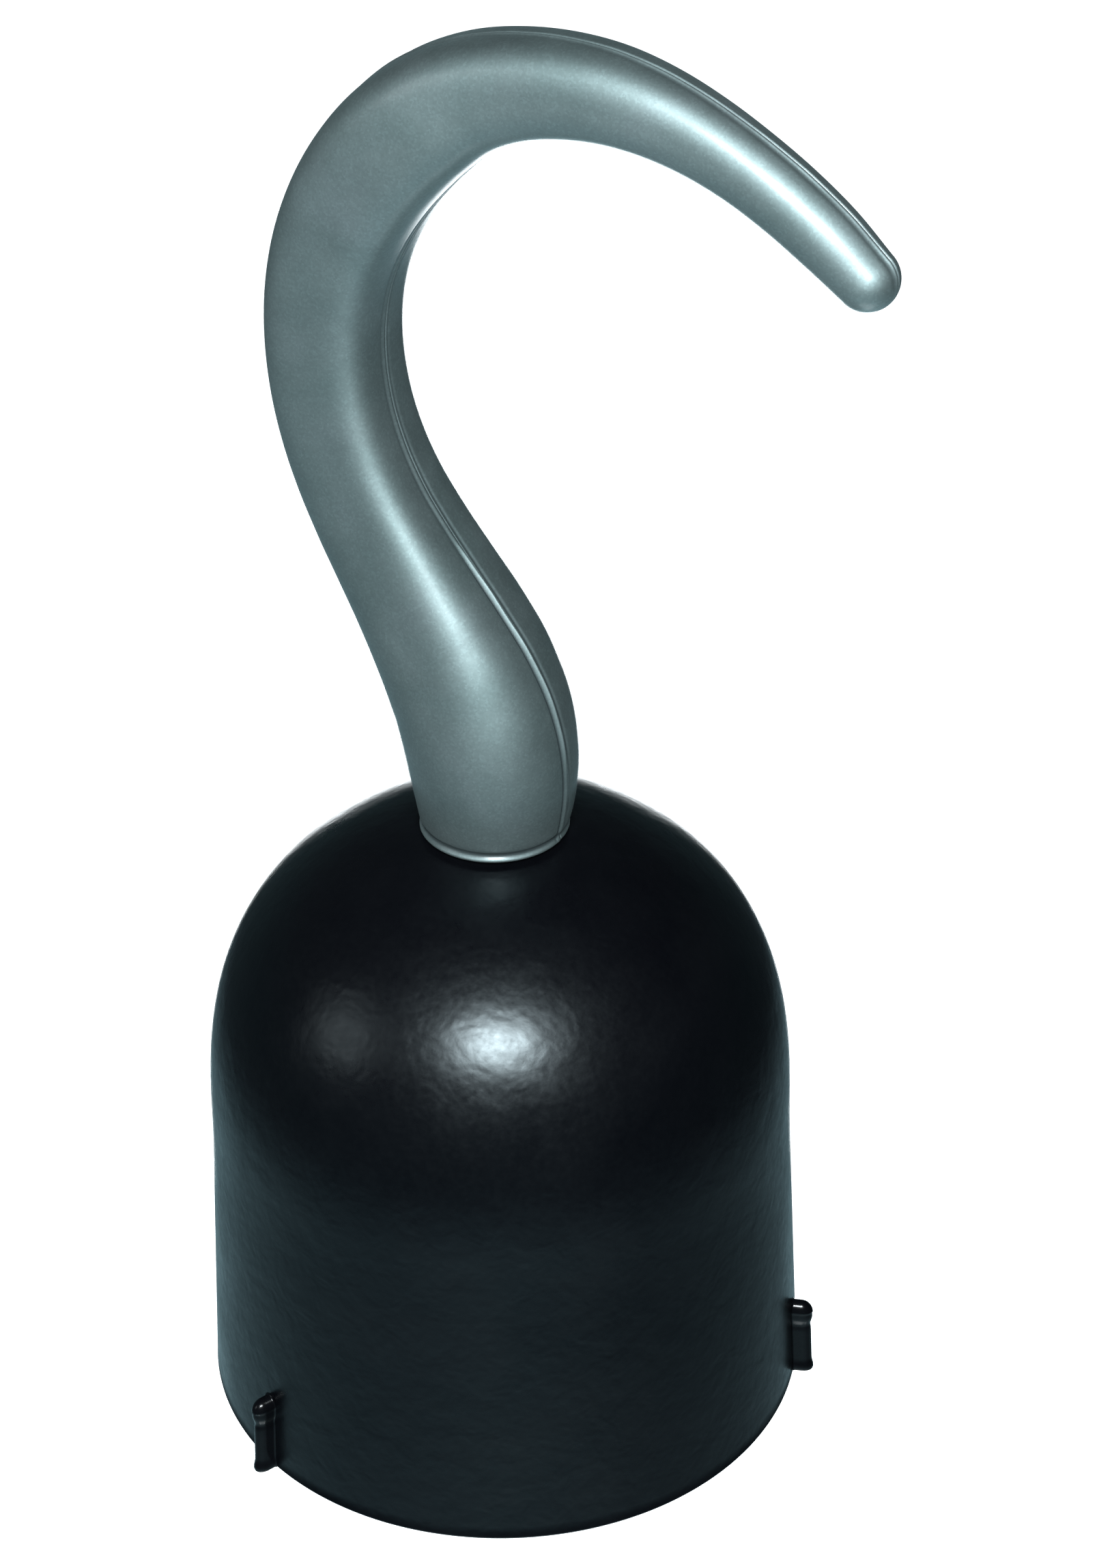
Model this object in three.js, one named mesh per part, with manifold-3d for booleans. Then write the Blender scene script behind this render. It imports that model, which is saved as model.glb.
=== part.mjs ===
// Costume pirate hook: a domed hand cup with a hook that swivels in the dome.
// Millimetres, +Z up. The rim of the cup rests on Z = 0. The hook lies in the XZ plane and its tip points to +X.
import * as THREE from 'three';
import { mergeVertices } from 'three/addons/utils/BufferGeometryUtils.js';
import Module from 'manifold-3d';

const wasm = await Module();
wasm.setup();

// ---------------------------------------------------------------- driving dimensions
// The cup's axis stands off the origin, so that the origin is under the middle of the whole object's box.
const AXIS_X = -7.69;
const AXIS_Y = 0;

const RIM_R = 50;            // outer radius of the cup at its rim
const WALL = 2.2;            // cup wall
const SHOULDER_R = 47.8;     // outer radius where the dome starts
const SHOULDER_Z = 50;       // height where the dome starts
const DOME_Z = 106.8;        // height the dome would reach on its axis
const DOME_P = 2.87;         // exponent of the dome's height
const DOME_Q = 2.03;         // exponent of the dome's radius
const SEAT_Z = 105.45;       // flat seat on top of the dome
const SEAT_IN_Z = 102.6;     // flat seat under the dome
const SEAT_IN_R = 15;        // radius of the seat under the dome
const HOLE_R = 8.35;         // hole in the dome
const CUP_SEG = 52;

const POST_ANGLES = { rim_post_left: -112.5, rim_post_right: 18.75, rim_post_back: 133 };
const POST_AXIS_R = 51.5;    // distance of a post from the cup's axis
const POST_R = 1.75;         // shaft of a post
const POST_HEAD_R = 2.05;    // round head of a post
const POST_SLIM = 0.74;      // width of a post along the rim, over its depth out from the wall
const POST_TOP = 15.1;       // top of a post
const POST_FOOT = 0.2;
const POST_PIN_Z = 7.5;      // the post's pin through the wall
const POST_PIN_R = 0.9;
const POST_PIN_HOLE_R = 1.15;
const POST_STAKE_R = 2.1;    // staked head inside the cup

const HOOK_WALL = 1.9;
const HOOK_BASE_Z = 106.25;  // underside of the hook
const HOOK_FLOOR = 2.0;      // thickness of the hook's floor, round the shank
const SEAM_GAP = 0.15;       // each half stops this far from the seam plane
// Centreline x, z and half width r of the hook, from the base to the tip
const HOOK = [
  [-0.07, 103.85, 10.96],
  [0.31, 111.14, 12.41],
  [0.09, 118.62, 13.29],
  [-1.09, 125.95, 13.17],
  [-3.50, 132.84, 12.44],
  [-6.82, 139.37, 11.38],
  [-10.61, 145.72, 10.46],
  [-14.55, 152.05, 9.74],
  [-18.32, 158.52, 9.23],
  [-21.49, 165.19, 9.02],
  [-23.82, 172.09, 8.94],
  [-25.23, 179.29, 8.93],
  [-25.66, 186.69, 8.96],
  [-25.01, 194.10, 9.05],
  [-23.23, 201.30, 9.20],
  [-20.32, 208.11, 9.41],
  [-16.47, 214.40, 9.58],
  [-11.83, 220.08, 9.58],
  [-6.35, 225.04, 9.17],
  [-0.02, 229.01, 8.27],
  [6.92, 231.47, 7.54],
  [14.20, 232.64, 7.07],
  [21.55, 232.65, 6.63],
  [28.81, 231.40, 6.15],
  [35.86, 229.10, 5.70],
  [42.61, 225.98, 5.39],
  [48.98, 222.26, 5.25],
  [54.99, 218.02, 5.10],
  [60.71, 213.30, 4.68],
];
const HOOK_RING = 32;        // corners round the hook
const HOOK_STEPS = 28;       // steps along the hook
const HOLLOW_END = 25;       // the hollow stops at this step, so the tip is solid
const LIP_R = 0.46;          // raised lip that runs along the near half's seam
const LIP_END = 21;          // the lip fades out at this step
const LIP_CORNERS = 8;
const BASE_BEAD_R = 11.85;   // bead round the hook's foot
const BASE_BEAD_H = 1.5;

const SHANK_POST_R = 6.5;    // post between the nut and the grip
const SHANK_R = 7.9;         // shank through the nut, the washers and the dome
const SHANK_COLLAR_R = 9.3;  // six-sided collar inside the hook, over its corners
const SHANK_LOW_Z = 38.8;
const SHANK_STEP_Z = 93;
const SHANK_COLLAR_Z = 108.55;
const SHANK_COLLAR_T = 3.2;
const SHANK_TOP_Z = 121;

const WASHER_OUT = { z: 105.62, t: 0.46, r: 10.6, hole: 8.2 };
const WASHER_IN = { z: 101.5, t: 0.8, r: 13.5, hole: 8.2 };
const NUT = { z: 94.8, t: 6.4, r: 13.2, hole: 8.2 };

const BAR_Z = 47.2;          // height of the grip bar's axis
const BAR_HALF = 39;         // half of the bar's length, along Y
const BAR_AX = 10;           // half depth of the bar, along X
const BAR_AZ = 10.8;         // half height of the bar
const BAR_WALL = 2.4;
const BAR_END_ROUND = 6;
const SCREW_Y = [-25, 0, 25];
const SCREW_R = 1.35;
const SCREW_HEAD_R = 2.9;
const SCREW_HEAD_T = 1.6;

// ---------------------------------------------------------------- materials
const std = (color, roughness, metalness) => new THREE.MeshStandardMaterial({ color, roughness, metalness });
const cupBlack = () => std(0x14171a, 0.42, 0.0);
const hookSilver = () => std(0x7f8c8e, 0.38, 0.75);
const postBlack = () => std(0x0c0d0f, 0.3, 0.0);
const innerBlack = () => std(0x1b1c1e, 0.55, 0.0);
const washerWhite = () => std(0x2a2b2c, 0.5, 0.0);
const steel = () => std(0x9a9da0, 0.35, 1.0);

// ---------------------------------------------------------------- solids
// A closed geometry becomes a solid once its shared corners are merged.
function solid(geometry) {
  let g = geometry.clone();
  g.deleteAttribute('normal');
  g.deleteAttribute('uv');
  g = mergeVertices(g, 1e-4);
  return new wasm.Manifold(new wasm.Mesh({
    numProp: 3,
    vertProperties: new Float32Array(g.attributes.position.array),
    triVerts: new Uint32Array(g.index.array),
  }));
}

function geometryOf(man) {
  const m = man.getMesh();
  const g = new THREE.BufferGeometry();
  g.setAttribute('position', new THREE.BufferAttribute(new Float32Array(m.vertProperties), 3));
  g.setIndex(new THREE.BufferAttribute(new Uint32Array(m.triVerts), 1));
  g.computeVertexNormals();
  return g;
}

// A solid of revolution about Z from a profile of [r, z] that starts and ends on the axis or closes on itself,
// with the material on its left when it is walked upwards on the outside.
function lathe(profile, seg) {
  const g = new THREE.LatheGeometry(profile.map(([r, z]) => new THREE.Vector2(r, z)), seg);
  g.rotateX(Math.PI / 2);
  return g;
}

// A round bar along Z from z0 to z1
function rod(r, z0, z1, seg = 28) {
  const g = new THREE.CylinderGeometry(r, r, z1 - z0, seg);
  g.rotateX(Math.PI / 2);
  g.translate(0, 0, (z0 + z1) / 2);
  return g;
}

// A round bar along X from x0 to x1, through the point (y, z)
function rodX(r, x0, x1, y, z, seg = 14) {
  const g = new THREE.CylinderGeometry(r, r, x1 - x0, seg);
  g.rotateZ(Math.PI / 2);
  g.translate((x0 + x1) / 2, y, z);
  return g;
}

// A round bar along Y from y0 to y1, through the point (x, z)
function rodY(r, y0, y1, x, z, seg = 12) {
  const g = new THREE.CylinderGeometry(r, r, y1 - y0, seg);
  g.translate(x, (y0 + y1) / 2, z);
  return g;
}

function block(x0, x1, y0, y1, z0, z1) {
  const g = new THREE.BoxGeometry(x1 - x0, y1 - y0, z1 - z0);
  g.translate((x0 + x1) / 2, (y0 + y1) / 2, (z0 + z1) / 2);
  return g;
}

// ---------------------------------------------------------------- cup
function cupOuterR(z) {
  if (z <= SHOULDER_Z) return RIM_R + (SHOULDER_R - RIM_R) * z / SHOULDER_Z;
  const t = Math.min(1, (z - SHOULDER_Z) / (DOME_Z - SHOULDER_Z));
  return SHOULDER_R * Math.pow(1 - Math.pow(t, DOME_P), 1 / DOME_Q);
}

function cupShell() {
  const outer = [];
  const zs = [0.5, 25, 50, 60, 69, 77, 84, 89.5, 94, 97.8, 100.8, 103, 104.5];
  for (const z of zs) outer.push([cupOuterR(z), z]);
  // where the dome meets the flat seat
  const tSeat = (SEAT_Z - SHOULDER_Z) / (DOME_Z - SHOULDER_Z);
  const rSeat = SHOULDER_R * Math.pow(1 - Math.pow(tSeat, DOME_P), 1 / DOME_Q);
  outer.push([rSeat, SEAT_Z]);
  // the inner wall is the outer one moved in along its normal
  const inner = [];
  for (let i = 1; i < outer.length - 2; i++) {
    const a = outer[i - 1], b = outer[i + 1], p = outer[i];
    const t = new THREE.Vector2(b[0] - a[0], b[1] - a[1]).normalize();
    inner.push([p[0] - t.y * WALL, p[1] + t.x * WALL]);
  }
  const innerUp = inner.filter(([r, z]) => z < SEAT_IN_Z - 0.3 && r > SEAT_IN_R + 1.5);
  const profile = [
    [RIM_R - WALL + 0.02, 0], [RIM_R - 0.4, 0], ...outer,
    [HOLE_R + 0.3, SEAT_Z], [HOLE_R, SEAT_Z - 0.3], [HOLE_R, SEAT_IN_Z],
    [SEAT_IN_R, SEAT_IN_Z], ...innerUp.reverse(), [RIM_R - WALL + 0.02, 0],
  ];
  let cup = solid(lathe(profile, CUP_SEG));
  for (const deg of Object.values(POST_ANGLES)) {
    const hole = rodX(POST_PIN_HOLE_R, RIM_R - 8, RIM_R + 8, 0, POST_PIN_Z, 10);
    hole.rotateZ(THREE.MathUtils.degToRad(deg));
    cup = cup.subtract(solid(hole));
  }
  return cup;
}

// ---------------------------------------------------------------- rim posts
function rimPost(deg) {
  // shaft with a slightly wider foot, and a round head
  const headZ = POST_TOP - POST_HEAD_R;
  const profile = [[0, POST_FOOT], [POST_R + 0.15, POST_FOOT], [POST_R + 0.2, POST_FOOT + 0.9], [POST_R, POST_FOOT + 1.8], [POST_R, headZ - 1.3]];
  for (let k = -1; k <= 4; k++) {
    const a = (k / 4) * Math.PI / 2;
    profile.push([k === 4 ? 0 : POST_HEAD_R * Math.cos(a), headZ + POST_HEAD_R * Math.sin(a)]);
  }
  const body = lathe(profile, 16);
  body.scale(1, POST_SLIM, 1);
  body.translate(POST_AXIS_R, 0, 0);
  let post = solid(body);
  // the back of the post follows the cup's wall
  const keepOff = lathe([[0, -2], [RIM_R + 0.25 + 0.09, -2], [RIM_R - 0.76 + 0.25, 17], [0, 17]], CUP_SEG);
  keepOff.rotateZ(THREE.MathUtils.degToRad(-deg));
  post = post.subtract(solid(keepOff));
  // pin through the wall, and its staked head inside
  const wallIn = RIM_R - WALL - 0.35;
  post = post.add(solid(rodX(POST_PIN_R, wallIn - 0.6, POST_AXIS_R, 0, POST_PIN_Z, 10)));
  post = post.add(solid(rodX(POST_STAKE_R, wallIn - 1.3, wallIn - 0.35, 0, POST_PIN_Z, 10)));
  const g = geometryOf(post);
  g.rotateZ(THREE.MathUtils.degToRad(deg));
  return g;
}

// ---------------------------------------------------------------- hook
const hookCurve = new THREE.CatmullRomCurve3(HOOK.map(([x, z]) => new THREE.Vector3(x, 0, z)), false, 'catmullrom', 0.5);

// Section exponent along the hook: round at the base and the tip, squarer with flat faces between
function hookExponent(u) {
  const k = [[0, 2.0], [0.08, 2.1], [0.13, 2.4], [0.19, 3.2], [0.28, 3.9], [0.56, 3.6], [0.74, 2.8], [0.9, 2.3], [1, 2.0]];
  for (let i = 1; i < k.length; i++) {
    if (u <= k[i][0]) {
      const f = (u - k[i - 1][0]) / (k[i][0] - k[i - 1][0]);
      return k[i - 1][1] + f * (k[i][1] - k[i - 1][1]);
    }
  }
  return 2;
}

function hookRadius(u) {
  const f = u * (HOOK.length - 1);
  const i = Math.min(HOOK.length - 2, Math.floor(f));
  const p = (j) => HOOK[Math.max(0, Math.min(HOOK.length - 1, j))][2];
  const t = f - i;
  const [p0, p1, p2, p3] = [p(i - 1), p(i), p(i + 1), p(i + 2)];
  return 0.5 * ((2 * p1) + (-p0 + p2) * t + (2 * p0 - 5 * p1 + 4 * p2 - p3) * t * t + (-p0 + 3 * p1 - 3 * p2 + p3) * t * t * t);
}

function loft(inset, steps, startDrop) {
  const pos = [], idx = [];
  const rings = [];
  const ring = (c, n, r, e) => {
    const row = [];
    for (let k = 0; k < HOOK_RING; k++) {
      const a = (k / HOOK_RING) * Math.PI * 2;
      const ca = Math.cos(a), sa = Math.sin(a);
      const x = r * Math.sign(ca) * Math.pow(Math.abs(ca), 2 / e);
      const y = r * Math.sign(sa) * Math.pow(Math.abs(sa), 2 / e);
      row.push(pos.length / 3);
      pos.push(c.x + n.x * x, y, c.z + n.z * x);
    }
    rings.push(row);
  };
  let c, t, n, r, e;
  for (let s = 0; s <= steps; s++) {
    const u = s / HOOK_STEPS;
    c = hookCurve.getPoint(u);
    t = hookCurve.getTangent(u);
    n = new THREE.Vector3(-t.z, 0, t.x);
    r = hookRadius(u) - inset;
    e = hookExponent(u);
    if (s === 0) c.z -= startDrop;
    ring(c, n, r, e);
  }
  // rounded end
  const caps = 4;
  for (let k = 1; k < caps; k++) {
    const a = (k / caps) * Math.PI / 2;
    const cc = c.clone().addScaledVector(t, r * Math.sin(a));
    ring(cc, n, r * Math.cos(a), 2);
  }
  const apex = pos.length / 3;
  const end = c.clone().addScaledVector(t, r);
  pos.push(end.x, 0, end.z);
  const base = pos.length / 3;
  const b = hookCurve.getPoint(0);
  pos.push(b.x, 0, b.z - startDrop);
  for (let s = 0; s + 1 < rings.length; s++) {
    for (let k = 0; k < HOOK_RING; k++) {
      const k2 = (k + 1) % HOOK_RING;
      idx.push(rings[s][k], rings[s + 1][k2], rings[s][k2]);
      idx.push(rings[s][k], rings[s + 1][k], rings[s + 1][k2]);
    }
  }
  const last = rings[rings.length - 1];
  for (let k = 0; k < HOOK_RING; k++) {
    const k2 = (k + 1) % HOOK_RING;
    idx.push(last[k], apex, last[k2]);
    idx.push(rings[0][k2], base, rings[0][k]);
  }
  const g = new THREE.BufferGeometry();
  g.setAttribute('position', new THREE.BufferAttribute(new Float32Array(pos), 3));
  g.setIndex(idx);
  return g;
}

// A thin tube that follows the hook's outline at the seam: side 1 on the inside of the bend, -1 on the outside
function seamLip(side) {
  const pos = [], idx = [];
  for (let s = 0; s <= LIP_END; s++) {
    const u = s / HOOK_STEPS;
    const c = hookCurve.getPoint(u);
    const t = hookCurve.getTangent(u);
    const n = new THREE.Vector3(-t.z, 0, t.x);
    const fade = Math.max(0.3, Math.min(1, (LIP_END - s) / 6)) * (side > 0 ? 1 : 0.6);
    const out = side * (hookRadius(u) + LIP_R * (fade - 1));
    for (let k = 0; k < LIP_CORNERS; k++) {
      const a = (k / LIP_CORNERS) * Math.PI * 2;
      pos.push(c.x + n.x * (out + side * LIP_R * Math.cos(a)), -0.46 + LIP_R * Math.sin(a), c.z + n.z * (out + side * LIP_R * Math.cos(a)));
    }
  }
  const flip = (a, b, d) => (side > 0 ? idx.push(a, b, d) : idx.push(a, d, b));
  for (let s = 0; s < LIP_END; s++) {
    for (let k = 0; k < LIP_CORNERS; k++) {
      const k2 = (k + 1) % LIP_CORNERS;
      const [a, b, d, e] = [s * LIP_CORNERS + k, s * LIP_CORNERS + k2, (s + 1) * LIP_CORNERS + k2, (s + 1) * LIP_CORNERS + k];
      flip(a, d, b);
      flip(a, e, d);
    }
  }
  const top = LIP_END * LIP_CORNERS;
  for (let k = 1; k + 1 < LIP_CORNERS; k++) {
    flip(0, k, k + 1);
    flip(top, top + k + 1, top + k);
  }
  const g = new THREE.BufferGeometry();
  g.setAttribute('position', new THREE.BufferAttribute(new Float32Array(pos), 3));
  g.setIndex(idx);
  return g;
}

// Locating pins that register the two halves: step along the hook, and offset across it
const PIN_STEPS = [6, 12, 18];

function hookHalves() {
  const big = 400;
  const outer = solid(loft(0, HOOK_STEPS, 2)).intersect(solid(block(-big, big, -big, big, HOOK_BASE_Z, big)));
  const hollow = solid(loft(HOOK_WALL, HOLLOW_END, 2)).intersect(solid(block(-big, big, -big, big, HOOK_BASE_Z + HOOK_FLOOR, big)));
  let shell = outer.subtract(hollow).subtract(solid(rod(SHANK_R + 0.3, HOOK_BASE_Z - 5, HOOK_BASE_Z + HOOK_FLOOR + 1)));
  // ribs that hold the collar's flats
  const flat = SHANK_COLLAR_R * Math.cos(Math.PI / 6) + 0.3;
  const rib = (sign) => solid(block(-4, 4, Math.min(sign * flat, sign * (flat + 4)), Math.max(sign * flat, sign * (flat + 4)),
    HOOK_BASE_Z + HOOK_FLOOR - 0.5, SHANK_COLLAR_Z + SHANK_COLLAR_T + 1)).intersect(outer);
  shell = shell.add(rib(1)).add(rib(-1));
  const bead = solid(lathe([[BASE_BEAD_R - 2.2, HOOK_BASE_Z], [BASE_BEAD_R - 0.25, HOOK_BASE_Z], [BASE_BEAD_R, HOOK_BASE_Z + 0.25],
    [BASE_BEAD_R, HOOK_BASE_Z + 0.95], [BASE_BEAD_R - 0.3, HOOK_BASE_Z + 1.35], [BASE_BEAD_R - 2.2, HOOK_BASE_Z + BASE_BEAD_H], [BASE_BEAD_R - 2.2, HOOK_BASE_Z]], 40));
  shell = shell.add(bead);
  const above = solid(block(-big, big, -big, big, HOOK_BASE_Z, big));
  const lips = solid(seamLip(1)).add(solid(seamLip(-1))).intersect(above);
  let near = shell.add(lips).intersect(solid(block(-big, big, -big, -SEAM_GAP, -big, big)));
  let far = shell.intersect(solid(block(-big, big, SEAM_GAP, big, -big, big)));
  for (const s of PIN_STEPS) {
    const c = hookCurve.getPoint(s / HOOK_STEPS);
    const reach = hookRadius(s / HOOK_STEPS) - 0.9;
    const nearBoss = solid(rodY(3.0, -reach, -SEAM_GAP, c.x, c.z));
    near = near.add(nearBoss).subtract(solid(rodY(1.55, -4.2, 5, c.x, c.z, 10)));
    const farBoss = solid(rodY(3.0, SEAM_GAP, reach, c.x, c.z));
    far = far.add(farBoss).add(solid(rodY(1.25, -3.4, SEAM_GAP + 1, c.x, c.z, 10)));
  }
  return [geometryOf(near), geometryOf(far)];
}

// ---------------------------------------------------------------- shank, washers, nut
function neckShank() {
  const profile = [
    [0, SHANK_LOW_Z], [SHANK_POST_R - 0.6, SHANK_LOW_Z], [SHANK_POST_R, SHANK_LOW_Z + 0.6], [SHANK_POST_R, SHANK_STEP_Z - 1.4],
    [SHANK_R, SHANK_STEP_Z], [SHANK_R, SHANK_COLLAR_Z + 1], [SHANK_POST_R, SHANK_COLLAR_Z + 1.5],
    [SHANK_POST_R, SHANK_TOP_Z - 1], [SHANK_POST_R - 1, SHANK_TOP_Z], [0, SHANK_TOP_Z],
  ];
  let shank = solid(lathe(profile, 28));
  const collar = new THREE.CylinderGeometry(SHANK_COLLAR_R, SHANK_COLLAR_R, SHANK_COLLAR_T, 6);
  collar.rotateX(Math.PI / 2);
  collar.rotateZ(Math.PI / 2);
  collar.translate(0, 0, SHANK_COLLAR_Z + SHANK_COLLAR_T / 2);
  shank = shank.add(solid(collar));
  // cross hole for the grip's middle screw
  shank = shank.subtract(solid(rodX(SCREW_R + 0.3, -20, 20, 0, BAR_Z)));
  return geometryOf(shank);
}

function ring(z, t, r, hole, seg = 32) {
  return lathe([[hole, z], [r, z], [r, z + t], [hole, z + t], [hole, z]], seg);
}

function retainingNut() {
  const hex = new THREE.CylinderGeometry(NUT.r, NUT.r, NUT.t, 6);
  hex.rotateX(Math.PI / 2);
  hex.translate(0, 0, NUT.z + NUT.t / 2);
  // corners chamfered by a cone at each face
  const c = 1.5;
  const round = lathe([[0, NUT.z], [NUT.r - c, NUT.z], [NUT.r, NUT.z + c * 0.6], [NUT.r, NUT.z + NUT.t - c * 0.6], [NUT.r - c, NUT.z + NUT.t], [0, NUT.z + NUT.t]], 30);
  return geometryOf(solid(hex).intersect(solid(round)).subtract(solid(rod(NUT.hole, NUT.z - 5, NUT.z + NUT.t + 5, 28))));
}

// ---------------------------------------------------------------- grip bar
function barSolid(inset) {
  const pos = [], idx = [];
  const N = 16;
  const stations = [];
  const L = BAR_HALF - inset;
  const endR = Math.max(1, BAR_END_ROUND - inset);
  for (const [d, s] of [[0, 0.6], [0.25, 0.84], [1, 1]]) stations.push([-L + d * endR, s]);
    for (const [d, s] of [[1, 1], [0.25, 0.84], [0, 0.6]]) stations.push([L - d * endR, s]);
  const e = 2.3;
  for (const [y, s] of stations) {
    for (let k = 0; k < N; k++) {
      const a = (k / N) * Math.PI * 2;
      const ca = Math.cos(a), sa = Math.sin(a);
      pos.push((BAR_AX - inset) * s * Math.sign(ca) * Math.pow(Math.abs(ca), 2 / e), y,
        BAR_Z + (BAR_AZ - inset) * s * Math.sign(sa) * Math.pow(Math.abs(sa), 2 / e));
    }
  }
  const S = stations.length;
  for (let s = 0; s + 1 < S; s++) {
    for (let k = 0; k < N; k++) {
      const k2 = (k + 1) % N;
      idx.push(s * N + k, s * N + k2, (s + 1) * N + k2, s * N + k, (s + 1) * N + k2, (s + 1) * N + k);
    }
  }
  const c0 = pos.length / 3;
  pos.push(0, stations[0][0], BAR_Z);
  const c1 = pos.length / 3;
  pos.push(0, stations[S - 1][0], BAR_Z);
  for (let k = 0; k < N; k++) {
    const k2 = (k + 1) % N;
    idx.push(c0, k2, k);
    idx.push(c1, (S - 1) * N + k, (S - 1) * N + k2);
  }
  // turned so the faces point out
  for (let i = 0; i < idx.length; i += 3) [idx[i + 1], idx[i + 2]] = [idx[i + 2], idx[i + 1]];
  const g = new THREE.BufferGeometry();
  g.setAttribute('position', new THREE.BufferAttribute(new Float32Array(pos), 3));
  g.setIndex(idx);
  return g;
}

function gripHalves() {
  const big = 200;
  const outer = solid(barSolid(0));
  const hollow = solid(barSolid(BAR_WALL));
  let shell = outer.subtract(hollow);
  // collar walls either side of the shank, with its round pocket
  shell = shell.add(solid(block(-BAR_AX, BAR_AX, -10, 10, BAR_Z - 30, BAR_Z + 30)).intersect(outer));
  shell = shell.subtract(solid(rod(SHANK_POST_R + 0.3, SHANK_LOW_Z - 0.5, 90)));
  let front = shell.intersect(solid(block(0.15, big, -big, big, -big, big)));
  let rear = shell.intersect(solid(block(-big, -0.15, -big, big, -big, big)));
  for (const y of SCREW_Y) {
    if (y !== 0) {
      front = front.add(solid(rodX(3.6, 0.15, BAR_AX, y, BAR_Z)).intersect(outer));
      rear = rear.add(solid(rodX(3.2, -BAR_AX, -0.15, y, BAR_Z)).intersect(outer));
    }
    front = front.subtract(solid(rodX(SCREW_R + 0.3, -1, BAR_AX + 2, y, BAR_Z)));
    front = front.subtract(solid(rodX(SCREW_HEAD_R + 0.3, BAR_AX - SCREW_HEAD_T - 0.9, BAR_AX + 2, y, BAR_Z, 16)));
    if (y === 0) rear = rear.subtract(solid(rodX(SCREW_R + 0.3, -BAR_AX + 1.6, 1, y, BAR_Z)));
    else rear = rear.subtract(solid(rodX(SCREW_R + 0.3, -BAR_AX + 2.2, 1, y, BAR_Z)));
  }
  return [geometryOf(front), geometryOf(rear)];
}

function gripScrew(y) {
  const headX = BAR_AX - 0.6;
  const profile = [
    [0, 0], [SCREW_R - 0.5, 0], [SCREW_R, 1.4], [SCREW_R, 16.4 - SCREW_HEAD_T], [SCREW_HEAD_R, 16.4 - SCREW_HEAD_T],
    [SCREW_HEAD_R, 16.4 - 0.5], [SCREW_HEAD_R - 0.6, 16.4], [0, 16.4],
  ];
  let s = solid(lathe(profile, 14));
  // cross recess
  s = s.subtract(solid(block(-1.7, 1.7, -0.35, 0.35, 15.3, 18))).subtract(solid(block(-0.35, 0.35, -1.7, 1.7, 15.3, 18)));
  const out = geometryOf(s);
  out.rotateY(Math.PI / 2);
  out.translate(headX - 16.4, y, BAR_Z);
  return out;
}

// ---------------------------------------------------------------- assembly
const root = new THREE.Group();
root.name = 'costume_hook';
const cupGroup = new THREE.Group();
const hookGroup = new THREE.Group();
root.add(cupGroup, hookGroup);
cupGroup.position.set(AXIS_X, AXIS_Y, 0);
hookGroup.position.set(AXIS_X, AXIS_Y, 0);

function put(group, name, geometry, material) {
  const mesh = new THREE.Mesh(geometry, material);
  mesh.name = name;
  group.add(mesh);
}

put(cupGroup, 'cup_shell', geometryOf(cupShell()), cupBlack());
for (const [name, deg] of Object.entries(POST_ANGLES)) put(cupGroup, name, rimPost(deg), postBlack());

const [hookNear, hookFar] = hookHalves();
put(hookGroup, 'hook_half_near', hookNear, hookSilver());
put(hookGroup, 'hook_half_far', hookFar, hookSilver());
put(hookGroup, 'neck_shank', neckShank(), innerBlack());
put(hookGroup, 'swivel_washer_outer', ring(WASHER_OUT.z, WASHER_OUT.t, WASHER_OUT.r, WASHER_OUT.hole), washerWhite());
put(hookGroup, 'swivel_washer_inner', ring(WASHER_IN.z, WASHER_IN.t, WASHER_IN.r, WASHER_IN.hole), washerWhite());
put(hookGroup, 'retaining_nut', retainingNut(), innerBlack());
const [barFront, barRear] = gripHalves();
put(hookGroup, 'grip_bar_front', barFront, innerBlack());
put(hookGroup, 'grip_bar_rear', barRear, innerBlack());
put(hookGroup, 'grip_screw_left', gripScrew(SCREW_Y[0]), steel());
put(hookGroup, 'grip_screw_centre', gripScrew(SCREW_Y[1]), steel());
put(hookGroup, 'grip_screw_right', gripScrew(SCREW_Y[2]), steel());

export default root;
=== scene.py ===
import math

import bpy
import numpy as np
from mathutils import Matrix, Vector


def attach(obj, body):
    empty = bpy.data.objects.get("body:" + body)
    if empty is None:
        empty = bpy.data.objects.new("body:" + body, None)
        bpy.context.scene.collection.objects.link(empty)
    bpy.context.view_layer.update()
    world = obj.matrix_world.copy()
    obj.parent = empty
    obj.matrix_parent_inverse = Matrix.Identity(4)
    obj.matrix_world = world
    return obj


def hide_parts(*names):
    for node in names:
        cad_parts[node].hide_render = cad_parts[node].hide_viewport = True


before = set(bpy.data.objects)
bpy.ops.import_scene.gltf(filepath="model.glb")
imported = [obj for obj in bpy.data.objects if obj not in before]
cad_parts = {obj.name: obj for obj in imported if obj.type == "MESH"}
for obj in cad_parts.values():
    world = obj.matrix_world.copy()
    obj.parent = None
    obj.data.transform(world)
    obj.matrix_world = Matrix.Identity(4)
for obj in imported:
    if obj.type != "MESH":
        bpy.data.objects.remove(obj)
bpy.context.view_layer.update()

MM = 0.001
AXIS = np.array([-7.69, 0.0, 0.0])      # the cup's axis in the frame, mm

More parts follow.
